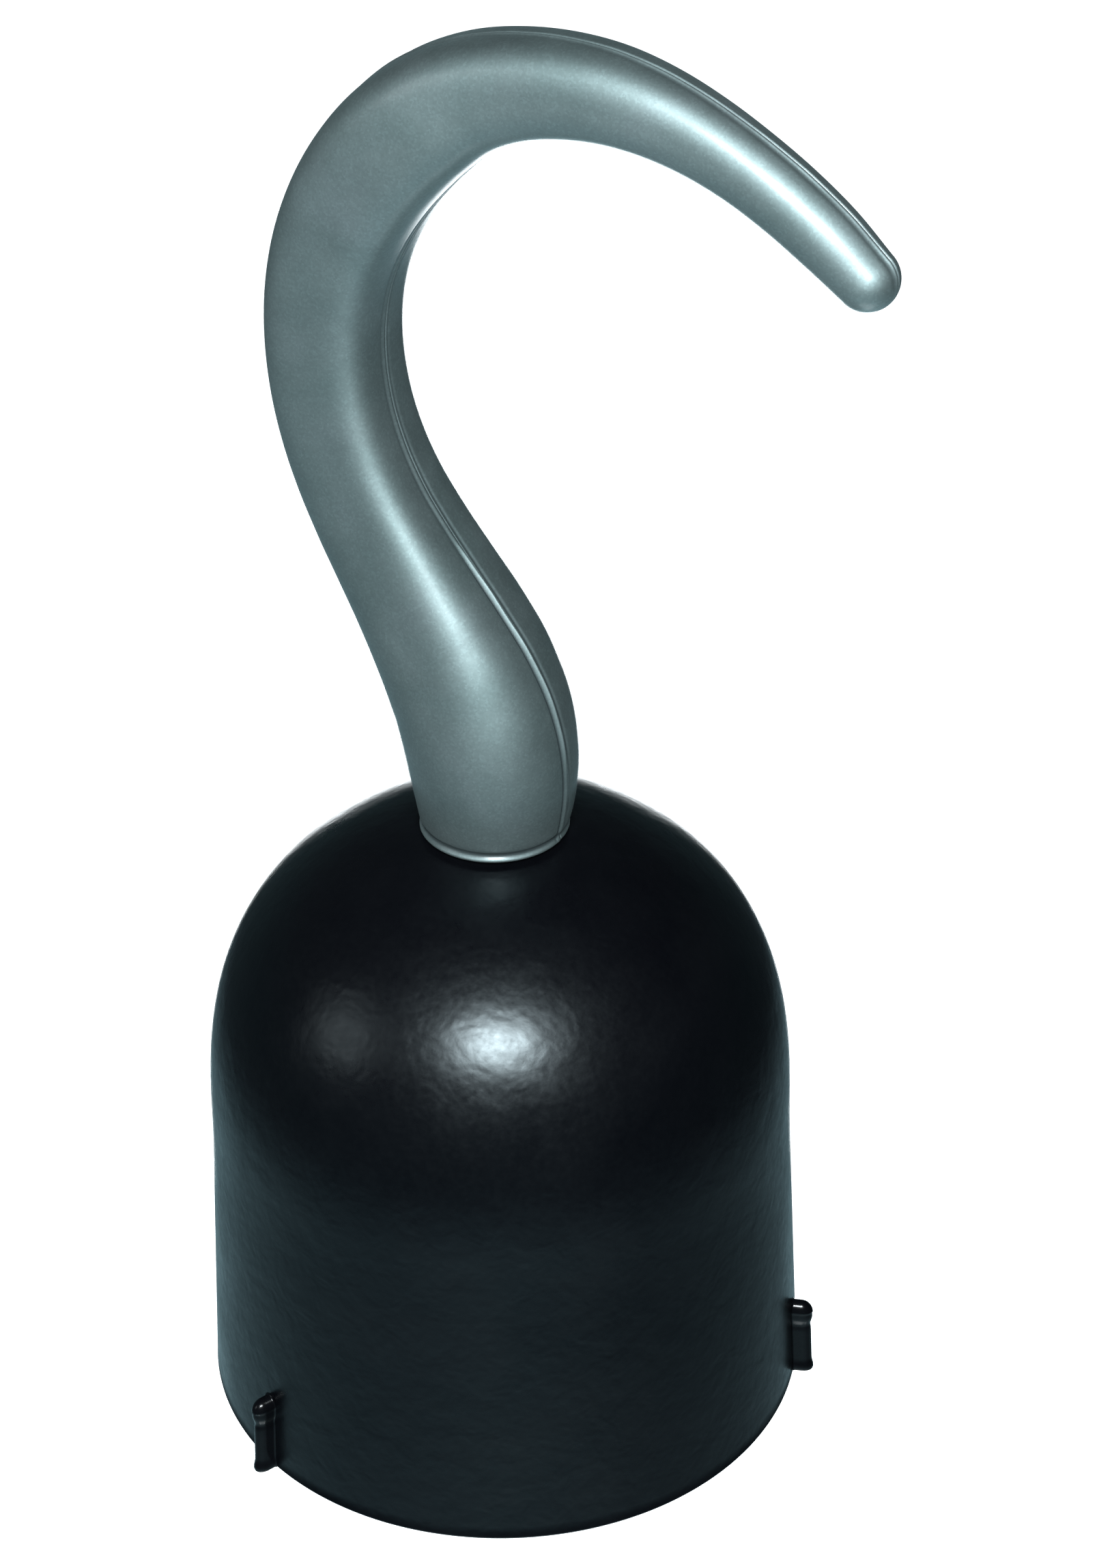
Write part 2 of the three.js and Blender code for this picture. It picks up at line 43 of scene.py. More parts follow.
# ------------------------------------------------------------------ shape constants, mm, the same as the CAD
RIM_R, WALL = 50.0, 2.2
SHOULDER_R, SHOULDER_Z = 47.8, 50.0
DOME_Z, DOME_P, DOME_Q = 106.8, 2.87, 2.03
SEAT_Z, SEAT_IN_Z, SEAT_IN_R, HOLE_R = 105.45, 102.6, 15.0, 8.35
POSTS = {"rim_post_left": -112.5, "rim_post_right": 18.75, "rim_post_back": 133.0}
POST_C, POST_R, POST_HEAD_R, POST_TOP, POST_FOOT, POST_PIN_Z = 1.5, 1.75, 2.05, 15.1, 0.2, 7.5
POST_SLIM = 0.74
HOOK_BASE_Z = 106.25
HOOK = np.array([
    [-0.07, 103.85, 10.96], [0.31, 111.14, 12.41], [0.09, 118.62, 13.29], [-1.09, 125.95, 13.17],
    [-3.50, 132.84, 12.44], [-6.82, 139.37, 11.38], [-10.61, 145.72, 10.46], [-14.55, 152.05, 9.74],
    [-18.32, 158.52, 9.23], [-21.49, 165.19, 9.02], [-23.82, 172.09, 8.94], [-25.23, 179.29, 8.93],
    [-25.66, 186.69, 8.96], [-25.01, 194.10, 9.05], [-23.23, 201.30, 9.20], [-20.32, 208.11, 9.41],
    [-16.47, 214.40, 9.58], [-11.83, 220.08, 9.58], [-6.35, 225.04, 9.17], [-0.02, 229.01, 8.27],
    [6.92, 231.47, 7.54], [14.20, 232.64, 7.07], [21.55, 232.65, 6.63], [28.81, 231.40, 6.15],
    [35.86, 229.10, 5.70], [42.61, 225.98, 5.39], [48.98, 222.26, 5.25], [54.99, 218.02, 5.10],
    [60.71, 213.30, 4.68],
])


# ------------------------------------------------------------------ mesh helpers
def make(name, verts, faces, material, body, replaces=(), smooth=True, attrs=None, sharp=None):
    """A mesh from points in mm about the cup's axis."""
    co = (np.asarray(verts, float) + AXIS) * MM
    me = bpy.data.meshes.new(name)
    me.from_pydata(co.tolist(), [], [list(map(int, f)) for f in faces])
    me.validate()
    me.update()
    if smooth:
        me.polygons.foreach_set("use_smooth", [True] * len(me.polygons))
    for key, values in (attrs or {}).items():
        a = me.attributes.new(key, "FLOAT", "POINT")
        a.data.foreach_set("value", np.asarray(values, np.float32))
    if sharp is not None:
        me.set_sharp_from_angle(angle=math.radians(sharp))
    ob = bpy.data.objects.new(name, me)
    bpy.context.scene.collection.objects.link(ob)
    me.materials.append(material)
    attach(ob, body)
    if replaces:
        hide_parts(*replaces)
    return ob


def lathe(profile, seg, close=False):
    """Turns [r, z] points about Z. A point on the axis becomes one vertex. The profile runs so that its left side is inside."""
    verts, rows = [], []
    for r, z in profile:
        if r < 1e-6:
            rows.append([len(verts)] * seg)
            verts.append((0.0, 0.0, z))
        else:
            rows.append(list(range(len(verts), len(verts) + seg)))
            for k in range(seg):
                a = 2 * math.pi * k / seg
                verts.append((r * math.cos(a), r * math.sin(a), z))
    faces = []
    n = len(rows)
    for i in range(n if close else n - 1):
        a, b = rows[i], rows[(i + 1) % n]
        for k in range(seg):
            k2 = (k + 1) % seg
            f = [a[k], a[k2], b[k2], b[k]]
            f = [v for j, v in enumerate(f) if v != f[j - 1]]
            if len(f) > 2:
                faces.append(f)
    return np.array(verts), faces


def arc(cx, cz, r, a0, a1, n):
    return [[cx + r * math.cos(math.radians(a0 + (a1 - a0) * k / n)), cz + r * math.sin(math.radians(a0 + (a1 - a0) * k / n))] for k in range(n + 1)]


def smoothstep(x):
    x = np.clip(x, 0, 1)
    return x * x * (3 - 2 * x)


# ------------------------------------------------------------------ materials
def nodes_of(name):
    m = bpy.data.materials.new(name)
    m.use_nodes = True
    nt = m.node_tree
    nt.nodes.clear()
    out = nt.nodes.new("ShaderNodeOutputMaterial")
    bsdf = nt.nodes.new("ShaderNodeBsdfPrincipled")
    nt.links.new(bsdf.outputs["BSDF"], out.inputs["Surface"])
    return m, nt, bsdf


def noise(nt, coord, scale, detail=2.0, rough=0.5, distortion=0.0):
    n = nt.nodes.new("ShaderNodeTexNoise")
    n.inputs["Scale"].default_value = scale
    n.inputs["Detail"].default_value = detail
    n.inputs["Roughness"].default_value = rough
    n.inputs["Distortion"].default_value = distortion
    nt.links.new(coord, n.inputs["Vector"])
    return n.outputs["Fac"]


def voronoi(nt, coord, scale, feature="F1"):
    n = nt.nodes.new("ShaderNodeTexVoronoi")
    n.feature = feature
    n.inputs["Scale"].default_value = scale
    nt.links.new(coord, n.inputs["Vector"])
    return n


def ramp(nt, fac, stops):
    n = nt.nodes.new("ShaderNodeValToRGB")
    el = n.color_ramp.elements
    el[0].position, el[0].color = stops[0][0], (*stops[0][1], 1)
    el[1].position, el[1].color = stops[-1][0], (*stops[-1][1], 1)
    for p, c in stops[1:-1]:
        e = el.new(p)
        e.color = (*c, 1)
    nt.links.new(fac, n.inputs["Fac"])
    return n.outputs["Color"]


def maprange(nt, fac, a, b, c, d):
    n = nt.nodes.new("ShaderNodeMapRange")
    n.inputs["From Min"].default_value = a
    n.inputs["From Max"].default_value = b
    n.inputs["To Min"].default_value = c
    n.inputs["To Max"].default_value = d
    nt.links.new(fac, n.inputs["Value"])
    return n.outputs["Result"]


def math_node(nt, op, a, b):
    n = nt.nodes.new("ShaderNodeMath")
    n.operation = op
    for i, v in enumerate((a, b)):
        if isinstance(v, (int, float)):
            n.inputs[i].default_value = v
        else:
            nt.links.new(v, n.inputs[i])
    return n.outputs[0]


def mix(nt, fac, a, b, kind="MIX"):
    n = nt.nodes.new("ShaderNodeMix")
    n.data_type = "RGBA"
    n.blend_type = kind
    for s, v in ((0, fac), (6, a), (7, b)):
        if isinstance(v, (int, float)):
            n.inputs[s].default_value = v
        elif isinstance(v, tuple):
            n.inputs[s].default_value = (*v, 1)
        else:
            nt.links.new(v, n.inputs[s])
    return n.outputs[2]


def bump(nt, height, distance, strength=1.0, normal=None):
    n = nt.nodes.new("ShaderNodeBump")
    n.inputs["Distance"].default_value = distance
    n.inputs["Strength"].default_value = strength
    nt.links.new(height, n.inputs["Height"])
    if normal is not None:
        nt.links.new(normal, n.inputs["Normal"])
    return n.outputs["Normal"]


def coords(nt):
    return nt.nodes.new("ShaderNodeTexCoord").outputs["Object"]


def attribute(nt, name):
    n = nt.nodes.new("ShaderNodeAttribute")
    n.attribute_name = name
    return n.outputs["Fac"]


def hook_material():
    """Silver-grey moulded plastic: metal flake in the plastic, cloudy flow, satin skin; the raised seam lips are
    painted lighter as a painted highlight, and the ditches and rolled seam edges are painted dark as painted shade.
    """
    m, nt, b = nodes_of("hook_silver_plastic")
    co = coords(nt)
    cloud = noise(nt, co, 55, 3, 0.55, 0.6)
    base = ramp(nt, cloud, [(0.30, (0.134, 0.177, 0.178)), (0.55, (0.152, 0.194, 0.196)), (0.75, (0.168, 0.209, 0.214))])
    flake = voronoi(nt, co, 3200)
    fl = ramp(nt, flake.outputs["Color"], [(0.0, (0.82, 0.82, 0.82)), (0.6, (1.0, 1.0, 1.0)), (1.0, (1.25, 1.27, 1.28))])
    base = mix(nt, 0.55, base, fl, "MULTIPLY")
    lip_highlight = attribute(nt, "lip_highlight")
    groove_shade = attribute(nt, "groove_shade")
    # painted highlight: the raised seam lips are lightened in the base colour
    base = mix(nt, maprange(nt, lip_highlight, 0, 1, 0, 0.30), base, (0.30, 0.36, 0.37))
    # painted shade: the ditches and the edges rolled in to the seam are darkened in the base colour; the same mask also
    # roughens them
    base = mix(nt, maprange(nt, groove_shade, 0, 1, 0, 0.85), base, (0.022, 0.030, 0.033))
    nt.links.new(base, b.inputs["Base Color"])
    b.inputs["Metallic"].default_value = 0.96
    b.inputs["IOR"].default_value = 1.5
    b.inputs["Coat Weight"].default_value = 0.42
    b.inputs["Coat Roughness"].default_value = 0.25
    b.inputs["Coat IOR"].default_value = 1.45
    r = maprange(nt, noise(nt, co, 140, 3, 0.6), 0.3, 0.7, 0.60, 0.655)
    r = math_node(nt, "ADD", r, maprange(nt, groove_shade, 0, 1, 0, 0.2))
    nt.links.new(r, b.inputs["Roughness"])
    n1 = bump(nt, noise(nt, co, 320, 2, 0.5), 0.00006, 0.6)
    n2 = bump(nt, noise(nt, co, 1500, 2, 0.5), 0.000012, 0.7, n1)
    nt.links.new(n2, b.inputs["Normal"])
    return m


def cup_material():
    """Black moulded plastic with orange peel and a satin gloss."""
    m, nt, b = nodes_of("cup_black_plastic")
    co = coords(nt)
    cloud = noise(nt, co, 40, 3, 0.6, 0.4)
    base = ramp(nt, cloud, [(0.3, (0.0008, 0.0009, 0.0015)), (0.7, (0.0017, 0.0019, 0.0026))])
    inside = attribute(nt, "inside")
    base = mix(nt, inside, base, ramp(nt, cloud, [(0.3, (0.026, 0.027, 0.029)), (0.7, (0.036, 0.037, 0.040))]))
    nt.links.new(base, b.inputs["Base Color"])
    b.inputs["IOR"].default_value = 1.49
    b.inputs["Specular IOR Level"].default_value = 0.26
    b.inputs["Specular Tint"].default_value = (0.84, 0.96, 1.0, 1.0)
    fine = noise(nt, co, 900, 3, 0.6)
    r = maprange(nt, noise(nt, co, 90, 4, 0.6), 0.3, 0.7, 0.27, 0.34)
    r = math_node(nt, "ADD", r, maprange(nt, fine, 0.3, 0.7, -0.03, 0.03))
    r = math_node(nt, "ADD", r, maprange(nt, inside, 0, 1, 0, 0.22))
    nt.links.new(r, b.inputs["Roughness"])
    peel = noise(nt, co, 210, 2, 0.55, 0.3)
    n1 = bump(nt, peel, 0.00022, 0.55)
    n2 = bump(nt, noise(nt, co, 620, 2, 0.5), 0.00005, 0.5, n1)
    nt.links.new(n2, b.inputs["Normal"])
    return m


def black_plastic(name, c0, c1, r0, r1, grain, depth, level=0.5):
    m, nt, b = nodes_of(name)
    co = coords(nt)
    b.inputs["Specular IOR Level"].default_value = level
    nt.links.new(ramp(nt, noise(nt, co, 120, 3, 0.6), [(0.3, c0), (0.7, c1)]), b.inputs["Base Color"])
    nt.links.new(maprange(nt, noise(nt, co, 400, 3, 0.6), 0.3, 0.7, r0, r1), b.inputs["Roughness"])
    nt.links.new(bump(nt, noise(nt, co, grain, 2, 0.5), depth, 0.6), b.inputs["Normal"])
    return m


def steel_material():
    m, nt, b = nodes_of("screw_steel")
    co = coords(nt)
    nt.links.new(ramp(nt, noise(nt, co, 600, 3, 0.6), [(0.3, (0.40, 0.41, 0.42)), (0.7, (0.58, 0.59, 0.60))]), b.inputs["Base Color"])
    b.inputs["Metallic"].default_value = 1.0
    nt.links.new(maprange(nt, noise(nt, co, 1500, 3, 0.6), 0.3, 0.7, 0.22, 0.4), b.inputs["Roughness"])
    nt.links.new(bump(nt, noise(nt, co, 4000, 2, 0.5), 0.00001, 0.5), b.inputs["Normal"])
    return m


M_HOOK = hook_material()
M_CUP = cup_material()
M_POST = black_plastic("post_black_plastic", (0.0010, 0.0011, 0.0015), (0.0020, 0.0022, 0.0030), 0.16, 0.23, 700, 0.00004, 0.17)
M_GRIP = black_plastic("grip_black_plastic", (0.028, 0.029, 0.031), (0.044, 0.045, 0.048), 0.42, 0.56, 1400, 0.00006)
M_WASHER = black_plastic("washer_black_plastic", (0.012, 0.012, 0.013), (0.02, 0.02, 0.022), 0.35, 0.45, 1200, 0.00002)
M_STEEL = steel_material()


# ------------------------------------------------------------------ cup
def cup_r(z):
    z = np.asarray(z, float)
    t = np.clip((z - SHOULDER_Z) / (DOME_Z - SHOULDER_Z), 0, 1)
    low = RIM_R + (SHOULDER_R - RIM_R) * z / SHOULDER_Z
    high = SHOULDER_R * (1 - t ** DOME_P) ** (1 / DOME_Q)
    return np.where(z <= SHOULDER_Z, low, high)


def cup_profile():
    t_seat = (SEAT_Z - SHOULDER_Z) / (DOME_Z - SHOULDER_Z)
    r_seat = SHOULDER_R * (1 - t_seat ** DOME_P) ** (1 / DOME_Q)
    # walked along the dome by its radius near the top and by its height lower down
    zs = np.concatenate([np.linspace(0.6, 50, 26), np.linspace(52, 98, 34)])
    outer = [[float(cup_r(z)), float(z)] for z in zs]
    r_low = float(cup_r(98.0))
    for r in np.linspace(r_low, r_seat + 0.6, 26)[1:]:
        t = (1 - (r / SHOULDER_R) ** DOME_Q) ** (1 / DOME_P)
        outer.append([float(r), float(SHOULDER_Z + t * (DOME_Z - SHOULDER_Z))])
    # the corner between wall and dome is eased
    o = np.array(outer)
    keep = o.copy()
    for _ in range(12):
        keep[1:-1] = 0.25 * keep[:-2] + 0.5 * keep[1:-1] + 0.25 * keep[2:]
    w = smoothstep(1 - np.abs(o[:, 1] - SHOULDER_Z) / 8)[:, None]
    o = o * (1 - w) + keep * w
    outer = o.tolist()
    d = np.gradient(o, axis=0)
    d /= np.linalg.norm(d, axis=1)[:, None]
    inner = np.stack([o[:, 0] - d[:, 1] * WALL, o[:, 1] + d[:, 0] * WALL], -1)
    inner = inner[(inner[:, 1] < SEAT_IN_Z - 0.9) & (inner[:, 0] > SEAT_IN_R + 1.6)]
    foot = arc(RIM_R - 0.55, 0.55, 0.55, -90, 0, 6)
    foot = [[r, z] for r, z in foot]
    inner_foot = arc(RIM_R - WALL + 0.6, 0.5, 0.5, 180, 270, 6)
    seat = [[r_seat + 0.25, SEAT_Z - 0.02], [r_seat - 0.5, SEAT_Z]]
    hole = [[HOLE_R + 1.2, SEAT_Z]] + arc(HOLE_R + 0.4, SEAT_Z - 0.4, 0.4, 90, 180, 5) + arc(HOLE_R + 0.4, SEAT_IN_Z + 0.4, 0.4, 180, 270, 5)
    under = [[SEAT_IN_R, SEAT_IN_Z]]
    return inner_foot + foot + outer + seat + hole + under + inner[::-1].tolist()


def build_cup():
    v, f = lathe(cup_profile(), 288, close=True)
    # the moulded skin is matt on the inside
    depth = cup_r(v[:, 2]) - np.hypot(v[:, 0], v[:, 1])
    inside = np.where(((depth > 1.4) & (v[:, 2] < SEAT_IN_Z + 0.05)), 1.0, 0.0)
    ob = make("cup_dome", v, f, M_CUP, "cup", ["cup_shell"], attrs={"inside": inside}, sharp=40)
    return ob


def build_post(name, deg):
    """An upright peg that grows from the cup's wall with a small fillet, a round head and a flared foot."""
    base = math.radians(deg)
    c = POST_C

    def place(s, z, w):
        r = float(cup_r(max(0.0, z))) + w
        a = base + s / r
        return (r * math.cos(a), r * math.sin(a), z)

    fillet = 0.35
    def profile(r):
        pts = [[r + fillet, 0.03]]
        for k in range(1, 7):
            a = math.radians(90 * k / 6)
            pts.append([r + fillet - fillet * math.sin(a), 0.03 + fillet * (1 - math.cos(a))])
        pts.append([r, c])
        for k in range(1, 13):
            a = math.radians(90 * k / 12)
            pts.append([r * math.cos(a), c + r * 0.97 * math.sin(a)])
        return pts

    head_z = POST_TOP - POST_HEAD_R - 0.5
    rails = []
    zs = np.concatenate([[POST_FOOT, POST_FOOT + 0.12, POST_FOOT + 0.35], np.linspace(POST_FOOT + 0.8, 3.2, 5), np.linspace(4, head_z - 3.2, 9), np.linspace(head_z - 2.9, head_z, 10)])

    def rad(z):
        foot = 0.26 * (1 - smoothstep((z - POST_FOOT - 0.6) / 1.6)) - 0.12 * (1 - smoothstep((z - POST_FOOT) / 0.35))
        head = (POST_HEAD_R - POST_R) * smoothstep((z - (head_z - 2.4)) / 1.5)
        waist = -0.10 * math.exp(-((z - (head_z - 2.7)) / 0.5) ** 2)
        return POST_R - 0.12 + foot + head + waist

    for z in zs:
        rails.append((0.0, float(z), -1.0, 0.0, rad(float(z))))
    for k in range(1, 24):
        a = math.radians(180 - 180 * k / 24)
        rails.append((0.0, head_z, math.cos(a), math.sin(a), POST_HEAD_R))
    for z in zs[::-1]:
        rails.append((0.0, float(z), 1.0, 0.0, rad(float(z))))
    verts, faces, rows = [], [], []
    for s0, z0, ns, nz, r in rails:
        row = []
        for d, w in profile(r):
            row.append(len(verts))
            verts.append(place(s0 + ns * d * POST_SLIM, z0 + nz * d, w))
        # back of the peg, on the wall
        row.append(len(verts))
        verts.append(place(s0, z0, 0.03))
        rows.append(row)
    m = len(rows[0])
    for i in range(len(rows) - 1):
        for j in range(m - 2):
            faces.append([rows[i][j], rows[i][j + 1], rows[i + 1][j + 1], rows[i + 1][j]])
        faces.append([rows[i][0], rows[i + 1][0], rows[i + 1][m - 1], rows[i][m - 1]])
    # flat foot
    left, right = rows[0], rows[-1]
    for j in range(m - 2):
        faces.append([left[j], right[j], right[j + 1], left[j + 1]])
    v = np.array(verts)
    # staked pin head inside the cup
    pin, pf = lathe([[0, 0.62]] + [[2.1 * math.sin(math.radians(a)), 0.62 * math.cos(math.radians(a)) ** 0.8] for a in (15, 30, 45, 60, 75, 85)] + [[2.1, 0.0], [2.0, -0.12], [0.9, -0.12], [0.9, -2.4], [0, -2.4]], 32)
    pin = pin[:, [2, 0, 1]] * np.array([-1, 1, 1])
    r_in = float(cup_r(POST_PIN_Z)) - WALL - 0.17
    pin[:, 0] += r_in
    pin[:, 2] += POST_PIN_Z
    ca, sa = math.cos(base), math.sin(base)
    pin = np.stack([pin[:, 0] * ca - pin[:, 1] * sa, pin[:, 0] * sa + pin[:, 1] * ca, pin[:, 2]], -1)
    n0 = len(v)
    v = np.vstack([v, pin])
    faces += [[a + n0 for a in f] for f in pf]
    ob = make(name.replace("rim_post", "rim_peg"), v, faces, M_POST, "cup", [name], sharp=50)
    fix_normals(ob)
    close_holes(ob)
    return ob


def fix_normals(ob):
    import bmesh
    bm = bmesh.new()
    bm.from_mesh(ob.data)
    bmesh.ops.remove_doubles(bm, verts=bm.verts, dist=1e-7)
    bmesh.ops.dissolve_degenerate(bm, edges=bm.edges, dist=1e-8)
    bmesh.ops.recalc_face_normals(bm, faces=bm.faces)
    bm.to_mesh(ob.data)
    bm.free()
    ob.data.update()


def close_holes(ob):
    """Fills the last open slivers, so that each piece is closed."""
    import bmesh
    bm = bmesh.new()
    bm.from_mesh(ob.data)
    bmesh.ops.holes_fill(bm, edges=[e for e in bm.edges if len(e.link_faces) == 1], sides=0)
    for f in bm.faces:
        f.smooth = True
    bm.to_mesh(ob.data)
    bm.free()
    ob.data.update()


# ------------------------------------------------------------------ hook
def catmull(table, u):
    """Uniform Catmull-Rom through the table's rows, with the ends carried on as three.js does."""
    n = len(table)
    f = np.clip(np.asarray(u, float), 0, 1) * (n - 1)
    i = np.minimum(n - 2, np.floor(f).astype(int))
    t = (f - i)[:, None]
    def row(k):
        lo, hi = 2 * table[0] - table[1], 2 * table[-1] - table[-2]
        kk = np.clip(k, 0, n - 1)
        out = table[kk].copy()
        out[k < 0] = lo
        out[k > n - 1] = hi
        return out
    p0, p1, p2, p3 = row(i - 1), row(i), row(i + 1), row(i + 2)
    return 0.5 * (2 * p1 + (-p0 + p2) * t + (2 * p0 - 5 * p1 + 4 * p2 - p3) * t ** 2 + (-p0 + 3 * p1 - 3 * p2 + p3) * t ** 3)


def hook_path(step=1.1):
    u = np.linspace(0, 1, 4001)
    c = catmull(HOOK, u)
    # start where the centreline reaches the base plane
    start = np.argmax(c[:, 1] >= HOOK_BASE_Z)
    c = c[start:]
    u = u[start:]
    length = np.concatenate([[0], np.cumsum(np.linalg.norm(np.diff(c[:, :2], axis=0), axis=1))])
    total = length[-1]
    # fine steps over the lip at the base
    s = np.concatenate([np.arange(0, 3.2, 0.16), np.arange(3.2, total, step), [total]])
    x, z, r, uu = (np.interp(s, length, a) for a in (c[:, 0], c[:, 1], c[:, 2], u))
    tx = np.gradient(c[:, 0], length)
    tz = np.gradient(c[:, 1], length)
    tx, tz = np.interp(s, length, tx), np.interp(s, length, tz)
    w = smoothstep(s / 14)
    tx = tx * w
    tz = tz * w + (1 - w)
    n = np.hypot(tx, tz)
    tx, tz = tx / n, tz / n
    return s, x, z, r, uu, tx, tz, total


def exponent(u):
    return np.interp(u, [0, 0.08, 0.13, 0.19, 0.28, 0.56, 0.74, 0.9, 1], [2.0, 2.1, 2.4, 3.2, 3.9, 3.6, 2.8, 2.3, 2.0])


def build_half(name, near, node):
    s, X, Z, R, U, TX, TZ, total = hook_path()
    side = -1.0 if near else 1.0
    gap = 0.10
    cap = 18
    rows = []
    for i in range(len(s)):
        rows.append((X[i], Z[i], R[i], 1.0, exponent(U[i]), TX[i], TZ[i], s[i], 1.0))
    x0, z0, r0, _, e0, tx, tz, s0, _ = rows[-1]
    for k in range(1, cap):
        a = math.pi / 2 * k / cap
        rows.append((x0 + tx * r0 * math.sin(a), z0 + tz * r0 * math.sin(a), r0, math.cos(a), 2.0, tx, tz, s0 + r0 * a, 1.0))
    # distances from the seam at which the outline is sampled, fine at the lip, then even angles
    fine = np.array([0.0, 0.06, 0.14, 0.24, 0.34, 0.44, 0.54, 0.64, 0.74, 0.84, 0.94, 1.04, 1.14, 1.24, 1.36, 1.5, 1.7, 1.95, 2.3, 2.8])
    verts, lip_highlight, groove_shade, idx = [], [], [], []
    for (cx, cz, r, shrink, e, tx, tz, ss, _) in rows:
        rr = r * shrink
        # dense outline of the half
        ph = np.linspace(0, math.pi, 721)
        cp, sp = np.cos(ph), np.sin(ph)
        p = rr * np.sign(cp) * np.abs(cp) ** (2 / e)
        q = rr * np.abs(sp) ** (2 / e)
        ln = np.concatenate([[0], np.cumsum(np.hypot(np.diff(p), np.diff(q)))])
        L = ln[-1]
        f = fine * min(1.0, L / 9.0)
        mid = np.linspace(f[-1], L - f[-1], 46)[1:-1]
        d = np.concatenate([f, mid, (L - f)[::-1]])
        pp, qq = np.interp(d, ln, p), np.interp(d, ln, q)
        # outline normals
        dp, dq = np.gradient(p, ln + 1e-9 * np.arange(len(ln))), np.gradient(q, ln + 1e-9 * np.arange(len(ln)))
        nx, ny = np.interp(d, ln, dq), np.interp(d, ln, -dp)
        nn = np.hypot(nx, ny) + 1e-12
        nx, ny = nx / nn, ny / nn
        out_d, in_d = d, L - d          # distance from the outer and from the inner seam
        k = 1.0
        if near:
            a_in = np.interp(ss, [0, 12, 17, 40, 48, 90, 150, total], [0.12, 0.12, 0.36, 0.36, 0.06, 0.05, 0.05, 0.05])
            a_out = np.interp(ss, [0, 60, 110, 150, total], [0.30, 0.22, 0.16, 0.16, 0.18])
            g_in = np.interp(ss, [0, 40, 48, 90, 150, total], [0.34, 0.34, 0.14, 0.10, 0.06, 0.05])
            g_out = np.interp(ss, [0, 60, 110, 150, total], [0.16, 0.10, 0.06, 0.06, 0.08])
        else:
            a_in = np.interp(ss, [0, 44, 60, 110, 150, total], [0.02, 0.02, 0.08, 0.10, 0.08, 0.06])
            a_out = np.interp(ss, [0, 60, 110, 150, total], [0.16, 0.12, 0.12, 0.14, 0.16])
            g_in = np.interp(ss, [0, 10, 16, 60, 110, total], [0.06, 0.10, 0.24, 0.20, 0.08, 0.04])
            g_out = 0.04
        wob = 1 + 0.12 * math.sin(ss * 0.31) + 0.08 * math.sin(ss * 0.83 + 1.3)
        fade = shrink ** 0.5 * min(1.0, L / 9.0)

        def bead(dist, amount):
            return amount * np.exp(-((dist - 0.40) / 0.25) ** 2)

        def ditch(dist, amount):
            c, w = (1.12, 0.34) if near else (0.62, 0.40)
            return amount * np.exp(-((dist - c) / w) ** 2)

        b_in, b_out = bead(in_d, a_in * wob * fade), bead(out_d, a_out * wob * fade)
        d_in, d_out = ditch(in_d, g_in * fade), ditch(out_d, g_out * fade)
        # the lip runs on round the base
        b_base = (0.34 if near else 0.28) * math.exp(-((ss - 0.48) / 0.44) ** 2)
        d_base = (0.42 if near else 0.24) * math.exp(-((ss - 1.62) / 0.55) ** 2)
        raised = np.maximum(np.maximum(b_in, b_out), b_base)
        sunk = np.maximum(np.maximum(d_in, d_out), d_base) * (1 - np.clip(raised / 0.3, 0, 1))
        off = raised - sunk
        # the very edge rolls in to the seam
        roll = 0.16 * (np.exp(-(in_d / 0.16) ** 2) + np.exp(-(out_d / 0.16) ** 2)) * fade
        edge_base = 0.22 * math.exp(-(ss / 0.2) ** 2)
        off = off - roll - edge_base
        pp = pp + nx * off
        qq = qq + ny * off
        qq = np.maximum(qq, gap)
        for j in range(len(d)):
            verts.append((cx - tz * pp[j], side * qq[j], cz + tx * pp[j]))
        # this mask carries a painted highlight on the raised seam lips
        lip_highlight.extend(np.clip((np.maximum(b_in, b_out) - 0.6 * b_base) / 0.45, 0, 1))
        # this mask carries painted shade in the ditches and where the edge rolls in to the seam
        groove_shade.extend(np.clip(sunk / 0.3 + roll / 0.2, 0, 1))
    m = len(fine) * 2 + 44
    n = len(rows)
    faces = []
    for i in range(n - 1):
        for j in range(m - 1):
            faces.append([i * m + j, i * m + j + 1, (i + 1) * m + j + 1, (i + 1) * m + j])
        # seam face
        faces.append([i * m + m - 1, i * m, (i + 1) * m, (i + 1) * m + m - 1])
    # underside of the base, and the end of the tip
    base_c = len(verts)
    verts.append((X[0], side * gap, Z[0]))
    lip_highlight.append(0), groove_shade.append(0)
    for j in range(m - 1):
        faces.append([j + 1, j, base_c])
    tip_c = len(verts)
    x1, z1 = x0 + tx_last(rows) * r0, z0 + tz_last(rows) * r0
    verts.append((x1, side * gap, z1))
    lip_highlight.append(0), groove_shade.append(0)
    for j in range(m - 1):
        faces.append([(n - 1) * m + j, (n - 1) * m + j + 1, tip_c])
    faces.append([(n - 1) * m + m - 1, (n - 1) * m, tip_c])
    ob = make(name, verts, faces, M_HOOK, "hook", [node], attrs={"lip_highlight": lip_highlight, "groove_shade": groove_shade}, sharp=55)
    fix_normals(ob)
    close_holes(ob)
    return ob


def tx_last(rows):
    return rows[-1][5]


def tz_last(rows):
    return rows[-1][6]


